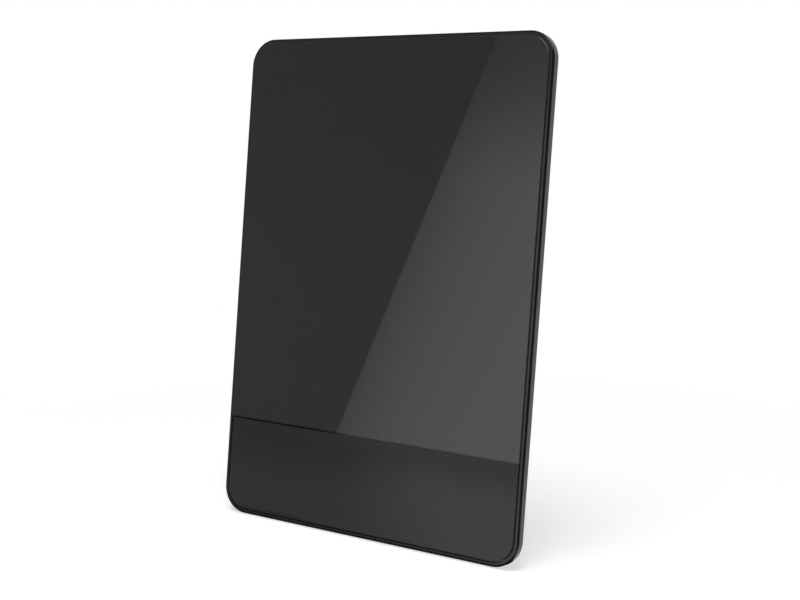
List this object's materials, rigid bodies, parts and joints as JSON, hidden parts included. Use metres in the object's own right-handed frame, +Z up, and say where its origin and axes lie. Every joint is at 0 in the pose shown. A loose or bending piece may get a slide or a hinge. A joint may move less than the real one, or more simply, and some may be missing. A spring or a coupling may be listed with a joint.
{
  "type": "flat indoor tv antenna",
  "caption": "Flat rounded indoor television antenna with a gloss panel above a satin band, leaning back on a fold-out rear foot, with a threaded coaxial jack behind.",
  "frame": {"origin": "on the standing surface, at the middle of the footprint from the panel's lower front edge to the foot's free end", "axes": "+Z up, front of the panel faces -Y, +X to the right as seen from the front"},
  "size_m": [0.15, 0.0595, 0.2107],
  "materials": {
    "frame_plastic": "semi-gloss black",
    "gloss_black": "polished black",
    "band_satin": "satin black",
    "cover_plastic": "fine grained black",
    "foot_plastic": "fine grained black",
    "pad_rubber": "matt dark grey",
    "screw_steel": "black zinc",
    "radiator_sheet": "tinplate",
    "board_laminate": "green solder mask",
    "can_sheet": "tinplate",
    "chip_resin": "black resin",
    "jack_nickel": "nickel plated",
    "jack_insulator": "off-white",
    "contact_brass": "gold plated"
  },
  "bodies": {
    "housing": {"front_frame": "frame_plastic", "gloss_panel": "gloss_black", "lower_band": "band_satin", "rear_cover": "cover_plastic", "cover_screws": "screw_steel", "radiator_left": "radiator_sheet", "radiator_right": "radiator_sheet", "amplifier_board": "board_laminate", "board_screws": "screw_steel", "shield_can": "can_sheet", "amplifier_chip": "chip_resin", "coax_jack_body": "jack_nickel", "coax_jack_insulator": "jack_insulator", "coax_jack_contact": "contact_brass", "coax_jack_nut": "jack_nickel"},
    "foot": {"fold_out_foot": "foot_plastic", "foot_pads": "pad_rubber"}
  },
  "joints": [
    {"name": "foot_fold", "type": "hinge", "parent": "housing", "child": "foot", "pos_m": [0, -0.02224, 0.0033], "axis": [1, 0, 0], "range_deg": [0, 82.7]}
  ]
}
